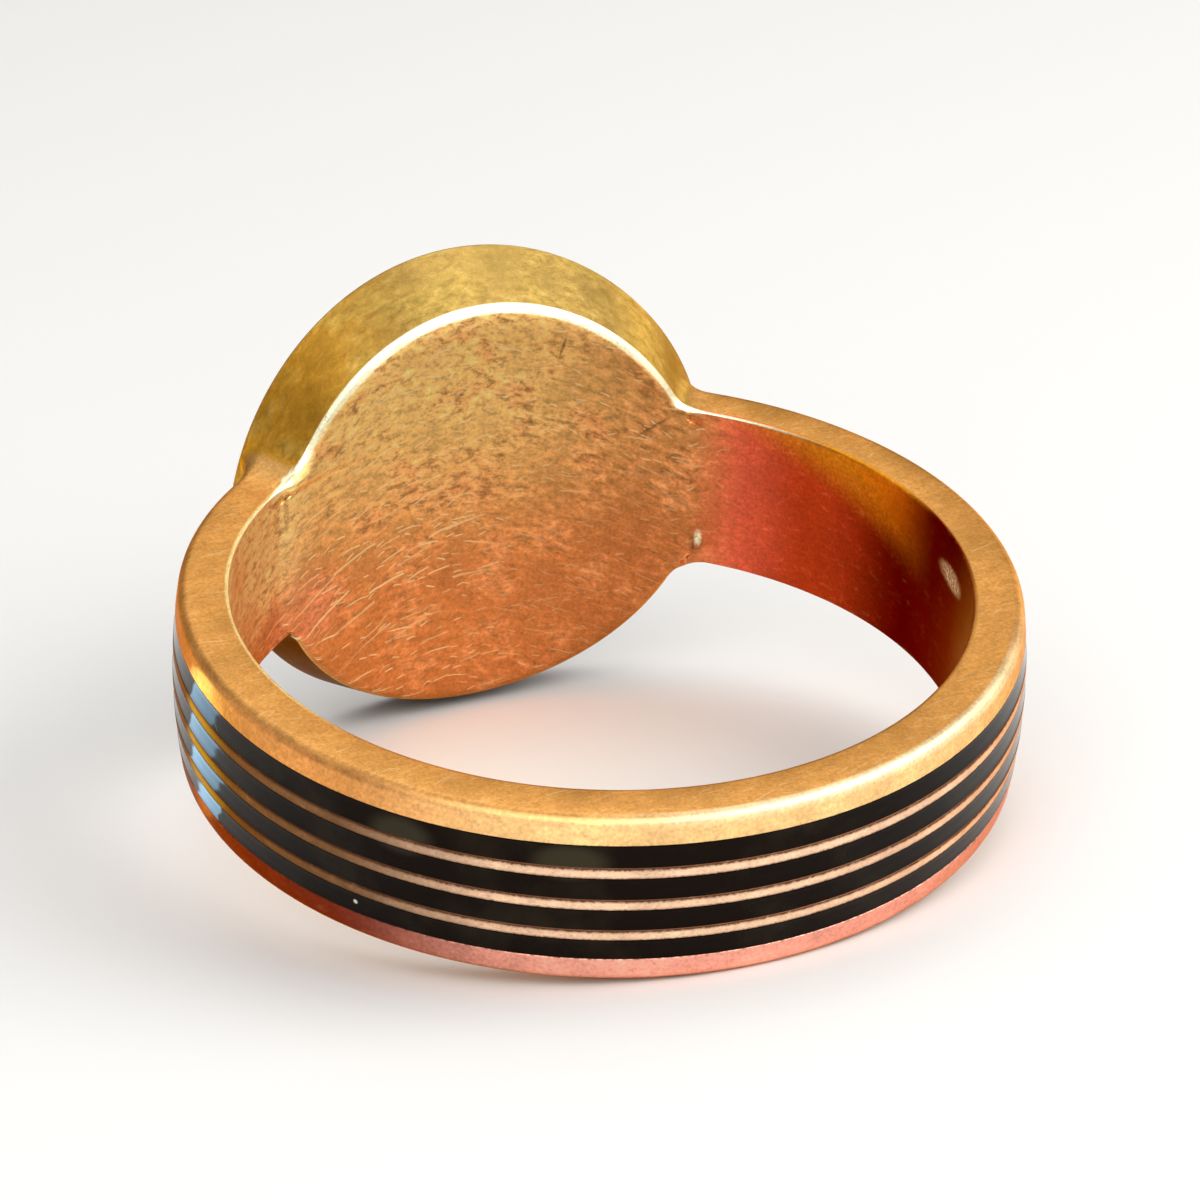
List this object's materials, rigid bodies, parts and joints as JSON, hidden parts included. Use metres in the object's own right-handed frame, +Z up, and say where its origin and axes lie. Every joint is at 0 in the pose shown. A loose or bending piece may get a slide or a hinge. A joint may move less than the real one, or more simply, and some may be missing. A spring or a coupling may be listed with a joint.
{
  "type": "mourning ring",
  "caption": "Wide gold finger ring with black enamel stripes sunk round the shank and a round, bowed box head, lying on its side.",
  "frame": {"origin": "on the floor under the middle of the ring as it lies on its side, at the bottom centre of its box", "axes": "+Z up from the floor, +Y from the back of the shank towards the head, +X to the right as seen from the back of the ring; the axis of the finger hole leans 12.2 degrees from +Z towards -Y"},
  "size_m": [0.0208, 0.0216, 0.0128],
  "materials": {
    "gold": "satin yellow gold, scratched and worn, polished at the edges",
    "enamel": "glossy black enamel",
    "front_panel": "glossy black, plain"
  },
  "bodies": {
    "root": {"gold_body": "gold", "enamel_stripe_1": "enamel", "enamel_stripe_2": "enamel", "enamel_stripe_3": "enamel", "enamel_stripe_4": "enamel", "front_panel": "front_panel"}
  },
  "joints": []
}
